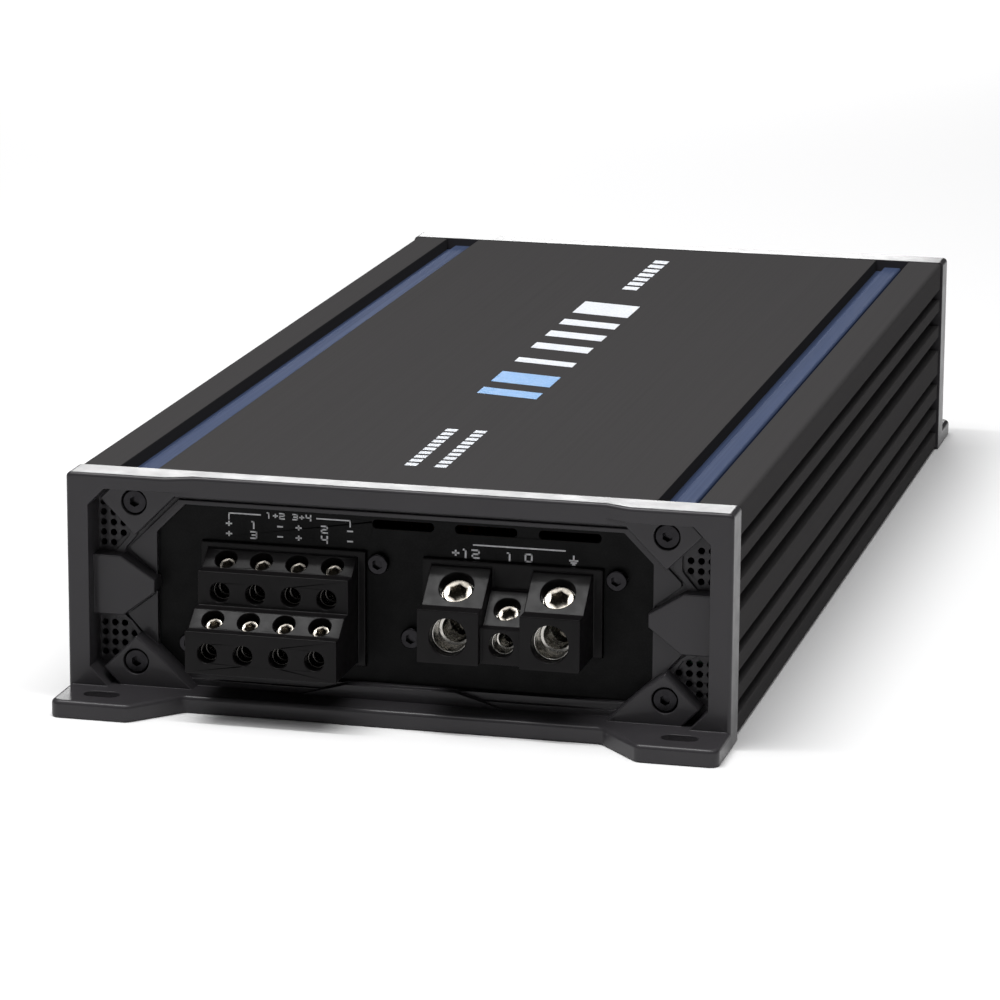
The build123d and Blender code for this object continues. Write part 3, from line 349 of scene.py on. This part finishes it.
OWN_PAINTS = {                                      # nodes that differ from the rest of their slot
    "heatsink_body": HEATSINK, "power_led": POWER_LENS, "speaker_terminal_clamps": CLAMP_PAINTED_SHADE,
}


# ---------------------------------------------------------------- kinds of moving node
def is_clamping_screw(node):
    """Whether a node is a terminal's clamping screw."""
    return node.startswith(("speaker_screw_", "power_screw_"))


def is_knob(node):
    """Whether a node is a knob."""
    return "_knob" in node


def is_control(node):
    """Whether a node is a knob or a slide switch's lever."""
    return is_knob(node) or ("_switch" in node and node in joints)


# ---------------------------------------------------------------- mesh tools
WELD_DISTANCE = 2e-6
BEVEL_SEGMENTS = 2
BEVEL_ANGLE = 30.0                                  # degrees; flatter edges stay as they are
SOFT_ANGLE, THREAD_ANGLE = 50.0, 40.0               # degrees; steeper edges shade as sharp


def paint_of(node):
    """The material that a node is shown in."""
    return OWN_PAINTS.get(node, PAINTS[slot_of[node]])


def new_piece(name, shape, node, material):
    """Shown piece, made from a bmesh, that rides with a node and has its slot."""
    mesh = bpy.data.meshes.new(name)
    shape.to_mesh(mesh)
    shape.free()
    mesh.materials.append(material)
    piece = bpy.data.objects.new(name, mesh)
    bpy.context.scene.collection.objects.link(piece)
    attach(piece, body_of[node])
    return piece


def smooth_by_angle(mesh, degrees):
    """Smooth faces, with sharp edges where the surface turns by more than the angle."""
    limit = math.radians(degrees)
    shape = bmesh.new()
    shape.from_mesh(mesh)
    for face in shape.faces:
        face.smooth = True
    for edge in shape.edges:
        edge.smooth = len(edge.link_faces) == 2 and edge.calc_face_angle(0.0) < limit
    shape.to_mesh(mesh)
    shape.free()


def apply_modifiers(piece):
    """Makes the modified mesh the piece's own."""
    depsgraph = bpy.context.evaluated_depsgraph_get()
    piece.data = bpy.data.meshes.new_from_object(piece.evaluated_get(depsgraph))
    piece.modifiers.clear()


def soften(node, width):
    """Shows a copy of a node, with its hard edges rounded and kept inside its box, in its place."""
    shape = bmesh.new()
    shape.from_mesh(nodes[node].data)
    bmesh.ops.remove_doubles(shape, verts=shape.verts, dist=WELD_DISTANCE)
    piece = new_piece(node + "_soft", shape, node, paint_of(node))
    bevel = piece.modifiers.new("edges", "BEVEL")
    bevel.width = width
    bevel.segments = BEVEL_SEGMENTS
    bevel.limit_method = "ANGLE"
    bevel.angle_limit = math.radians(BEVEL_ANGLE)
    bevel.use_clamp_overlap = False
    apply_modifiers(piece)
    least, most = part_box(node)
    for vertex in piece.data.vertices:
        vertex.co = [min(max(value, start), stop)
                     for value, start, stop in zip(vertex.co, least, most)]
    smooth_by_angle(piece.data, SOFT_ANGLE)
    weigh = piece.modifiers.new("normals", "WEIGHTED_NORMAL")
    weigh.keep_sharp = True
    apply_modifiers(piece)
    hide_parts(node)


# ---------------------------------------------------------------- clamping screws
COARSE_RADIUS = 3 * MM                              # screws wider than this have the coarse pitch
COARSE_PITCH, FINE_PITCH = 0.8 * MM, 0.6 * MM
THREAD_DEPTH = 0.45                                 # of the pitch
RINGS_PER_TURN = 6
STEPS_AROUND = 48
END_CHAMFER = 0.35 * MM
SOCKET_FLATS = 1.1                                  # of the radius, across flats
SOCKET_MOUTH = 0.72                                 # of the radius
SOCKET_LEAD = 0.12 * MM


def hexagon_radius(angle, across_flats):
    """Distance from the middle of a hexagon to its outline."""
    within = (angle + math.pi / 6) % (math.pi / 3) - math.pi / 6
    return across_flats / 2 / math.cos(within)


def threaded_screw(node):
    """Shows a clamping screw with a real thread and a hexagon socket in the node's place."""
    low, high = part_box(node)
    axis = Vector(joints[node]["axis"]).normalized()
    radius = (high.x - low.x) / 2
    tilt = math.acos(axis.z)
    length = ((high.z - low.z) - 2 * radius * math.sin(tilt)) / math.cos(tilt)
    pitch = COARSE_PITCH if radius > COARSE_RADIUS else FINE_PITCH
    depth = pitch * THREAD_DEPTH
    angles = [2 * math.pi * step / STEPS_AROUND for step in range(STEPS_AROUND)]
    rings = []
    count = int(length / pitch * RINGS_PER_TURN)
    for index in range(count + 1):
        height = -length / 2 + length * index / count
        end = min(height + length / 2, length / 2 - height)
        rings.append((height, [
            min(radius,
                radius - depth * abs(((height / pitch - step / STEPS_AROUND) % 1) * 2 - 1),
                radius - END_CHAMFER + end) for step in range(STEPS_AROUND)]))
    top = length / 2
    socket = [hexagon_radius(angle, radius * SOCKET_FLATS) for angle in angles]
    rings += [(top, [radius * SOCKET_MOUTH] * STEPS_AROUND),
              (top - SOCKET_LEAD, socket), (top - radius, socket)]
    shape = bmesh.new()
    layers = [[shape.verts.new((size * math.cos(angle), size * math.sin(angle), height))
               for angle, size in zip(angles, sizes)] for height, sizes in rings]
    for lower, upper in zip(layers, layers[1:]):
        for step in range(STEPS_AROUND):
            after = (step + 1) % STEPS_AROUND
            shape.faces.new((lower[step], lower[after], upper[after], upper[step]))
    shape.faces.new(list(reversed(layers[0])))
    shape.faces.new(layers[-1])
    bmesh.ops.recalc_face_normals(shape, faces=shape.faces)
    turn = axis.to_track_quat("Z", "Y").to_matrix().to_4x4()
    shape.transform(Matrix.Translation((low + high) / 2) @ turn)
    piece = new_piece(node + "_threaded", shape, node, paint_of(node))
    smooth_by_angle(piece.data, THREAD_ANGLE)
    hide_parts(node)


# ---------------------------------------------------------------- prints
PRINT_SINK, PRINT_LIFT = 0.005 * MM, 0.04 * MM      # both faces of the ink above its plane
GLYPH_STRETCH = 1.35                                # how much wider than drawn below
GLYPH_HEIGHT, GLYPH_STEP, GLYPH_GAP = 4, 3.9, 1.3   # in the units of the strokes below
GLYPHS = {                                          # strokes; "E" draws the earth sign
    "1": [[(0.5, 4), (1.3, 4), (1.3, 0)]],
    "2": [[(0, 4), (2.6, 4), (2.6, 2), (0, 2), (0, 0), (2.6, 0)]],
    "3": [[(0, 4), (2.6, 4), (2.6, 0), (0, 0)], [(0.6, 2), (2.6, 2)]],
    "4": [[(0, 4), (0, 2), (2.6, 2)], [(2.6, 4), (2.6, 0)]],
    "0": [[(0, 0), (2.6, 0), (2.6, 4), (0, 4), (0, 0)]],
    "+": [[(0.2, 2), (2.4, 2)], [(1.3, 0.9), (1.3, 3.1)]],
    "-": [[(0.3, 2), (2.3, 2)]],
    "E": [[(1.3, 4), (1.3, 1.9)], [(0, 1.9), (2.6, 1.9)], [(0.5, 0.9), (2.1, 0.9)],
          [(1.0, 0), (1.6, 0)]],
    " ": [],
}


class Print:
    """Flat printed strokes on a plane, gathered into one piece."""

    def __init__(self, name, carrier, origin, across, up, material):
        self.name, self.carrier, self.material = name, carrier, material
        self.origin, self.across, self.up = Vector(origin), Vector(across), Vector(up)
        self.out = self.across.cross(self.up).normalized()
        self.shape = bmesh.new()

    def area(self, corners):
        """Thin raised polygon through corners given in millimetres on the plane."""
        base = [self.origin + (self.across * u + self.up * v) * MM for u, v in corners]
        low = [self.shape.verts.new(point + self.out * PRINT_SINK) for point in base]
        high = [self.shape.verts.new(point + self.out * PRINT_LIFT) for point in base]
        self.shape.faces.new(high)
        self.shape.faces.new(list(reversed(low)))
        for index in range(len(base)):
            after = (index + 1) % len(base)
            self.shape.faces.new((low[index], low[after], high[after], high[index]))

    def line(self, points, thick):
        """Stroke of straight runs with square ends."""
        for (u0, v0), (u1, v1) in zip(points, points[1:]):
            run = math.hypot(u1 - u0, v1 - v0)
            du, dv = (u1 - u0) / run * thick / 2, (v1 - v0) / run * thick / 2
            self.area([(u0 - du + dv, v0 - dv - du), (u1 + du + dv, v1 + dv - du),
                       (u1 + du - dv, v1 + dv + du), (u0 - du - dv, v0 - dv + du)])

    def text(self, signs, u, v, height, thick):
        """Row of glyphs centred on a point."""
        unit = height / GLYPH_HEIGHT
        wide = unit * GLYPH_STRETCH
        step = GLYPH_STEP * wide
        left = u - (len(signs) * step - GLYPH_GAP * wide) / 2
        for index, sign in enumerate(signs):
            for stroke in GLYPHS[sign]:
                self.line([(left + index * step + x * wide, v - height / 2 + y * unit)
                           for x, y in stroke], thick)

    def finish(self):
        """Turns the strokes into a piece that rides with its carrier."""
        bmesh.ops.recalc_face_normals(self.shape, faces=self.shape.faces)
        new_piece(self.name, self.shape, self.carrier, self.material)


# Places, heights and thicknesses of prints are in millimetres on their plane.
SPEAKER_COLUMNS = (-46.9, -40.2, -33.1, -28.1, -21.2, -14.3)
SPEAKER_ROWS = (("12", 48.0), ("34", 45.3))         # channel numbers, height
SIGN_HEIGHT, SIGN_THICK = 1.7, 0.4
BRACKET_FOOT, BRACKET_TOP, BRACKET_THICK = 49.2, 50.8, 0.32
BRACKET_ENDS = (-38.4, -23.2)
TERMINAL_LABELS = (                                 # signs, place across and up, height, thickness
    ("1+2 3+4", -30.8, BRACKET_TOP, 1.35, 0.34), ("+12", 16.4, 44.2, 2.0, 0.46),
    ("1 0", 30.5, 44.1, 1.9, 0.44), ("E", 44.8, 44.2, 2.2, 0.42),
)
POWER_RULE, RULE_THICK = ((18.5, 46.6), (42.5, 46.6)), 0.36


def terminal_prints():
    """Polarity signs, channel numbers and brackets above the terminals."""
    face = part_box("terminal_panel")[0].y
    sheet = Print("terminal_prints", "terminal_panel", (0, face, 0), (1, 0, 0), (0, 0, 1),
                  INK_LIGHT)
    for digits, height in SPEAKER_ROWS:
        signs = ("+", digits[0], "-", "+", digits[1], "-")
        for sign, u in zip(signs, SPEAKER_COLUMNS):
            sheet.text(sign, u, height, SIGN_HEIGHT, SIGN_THICK)
    left, right = SPEAKER_COLUMNS[0], SPEAKER_COLUMNS[-1]
    sheet.line([(left, BRACKET_FOOT), (left, BRACKET_TOP), (BRACKET_ENDS[0], BRACKET_TOP)],
               BRACKET_THICK)
    sheet.line([(BRACKET_ENDS[1], BRACKET_TOP), (right, BRACKET_TOP), (right, BRACKET_FOOT)],
               BRACKET_THICK)
    for label in TERMINAL_LABELS:
        sheet.text(*label)
    sheet.line(POWER_RULE, RULE_THICK)
    sheet.finish()


SCALE_MARKS, SCALE_LONG_EVERY = 11, 5
SCALE_START, SCALE_STEP = 230, 28                   # degrees, clockwise from the lower left
SCALE_INNER, SCALE_OUTER, SCALE_LONG, SCALE_THICK = 6.3, 7.4, 7.9, 0.25
STOP_DROP, STOP_HEIGHT, STOP_THICK = 3.6, 1.3, 0.28     # digits below a switch lever


def control_prints():
    """Level scales around the knobs and a digit at each stop of the switches."""
    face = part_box("control_panel")[1].y
    sheet = Print("control_prints", "control_panel", (0, face, 0), (-1, 0, 0), (0, 0, 1),
                  INK_LIGHT)
    for node in filter(is_control, nodes):
        first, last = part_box(node)
        u, v = -(first.x + last.x) / 2 / MM, (first.z + last.z) / 2 / MM
        if is_knob(node):
            for index in range(SCALE_MARKS):
                angle = math.radians(SCALE_START - SCALE_STEP * index)
                outer = SCALE_OUTER if index % SCALE_LONG_EVERY else SCALE_LONG
                sheet.line([(u + size * math.cos(angle), v + size * math.sin(angle))
                            for size in (SCALE_INNER, outer)], SCALE_THICK)
        else:
            stops = {0.0, *(limit / MM for limit in joints[node]["range_m"])}
            for index, stop in enumerate(sorted(stops)):
                sheet.text(str(index), u - stop, v - STOP_DROP, STOP_HEIGHT, STOP_THICK)
    sheet.finish()


EMBLEM_BARS = (                                     # both ends in Y, ink
    (-62, -50, INK_BLUE), (-46, -28, INK_BLUE), (-18, -8, INK_WHITE), (2, 14, INK_WHITE),
    (20, 32, INK_WHITE), (38, 50, INK_WHITE), (56, 78, INK_WHITE),
)
EMBLEM_HALF, EMBLEM_SLANT = 9, 4
# Towards the terminals: start, step, count, length; then middle, half width and slant.
DASH_ROWS = (
    (104, 4.6, 10, 3.0, -4.0, 1.6, 0), (104, 4.6, 10, 3.0, 4.0, 1.6, 0),
    (-150, 7.5, 7, 5.0, 0, 2.4, 0.8),
)


def top_emblem():
    """Plain slanted bars along the top, blue near the terminals, and three rows of dashes."""
    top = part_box("heatsink_body")[1].z
    for material, label in ((INK_WHITE, "white"), (INK_BLUE, "blue")):
        sheet = Print("top_emblem_" + label, "heatsink_body", (0, 0, top), (0, -1, 0), (1, 0, 0),
                      material)
        for start, stop, tone in EMBLEM_BARS:
            if tone is material:
                sheet.area([(-stop, -EMBLEM_HALF), (-start - EMBLEM_SLANT, -EMBLEM_HALF),
                            (-start, EMBLEM_HALF), (-stop + EMBLEM_SLANT, EMBLEM_HALF)])
        if material is INK_WHITE:
            for first, step, count, length, middle, half, slant in DASH_ROWS:
                for place in (first + index * step for index in range(count)):
                    sheet.area([(place, middle - half), (place + length, middle - half),
                                (place + length + slant, middle + half),
                                (place + slant, middle + half)])
        sheet.finish()


# ---------------------------------------------------------------- the object
add_camera()
add_studio()

MOVING_EDGE = 0.12                                  # mm, on knobs and levers
SOFT_EDGES = {                                      # bevel widths in mm
    "front_bezel": 0.20, "rear_bezel": 0.20, "heatsink_body": 0.25, "trim_strip_left": 0.15,
    "trim_strip_right": 0.15, "speaker_terminal_housing": 0.28, "power_terminal_housing": 0.32,
    "speaker_terminal_clamps": 0.12, "power_terminal_clamps": 0.15, "terminal_panel": 0.12,
    "control_panel": 0.12, "front_grilles": 0.08, "rear_grilles": 0.08, "bottom_cover": 0.15,
    "rca_jack_block": 0.15, "rca_jack_barrels": 0.12, "high_level_socket": 0.2,
}
for node_name, node_object in nodes.items():
    node_object.data.materials.clear()
    node_object.data.materials.append(paint_of(node_name))
for node_name, edge_width in SOFT_EDGES.items():
    soften(node_name, edge_width * MM)
for node_name in nodes:
    if is_clamping_screw(node_name):
        threaded_screw(node_name)
    elif is_control(node_name):
        soften(node_name, MOVING_EDGE * MM)
terminal_prints()
control_prints()
top_emblem()
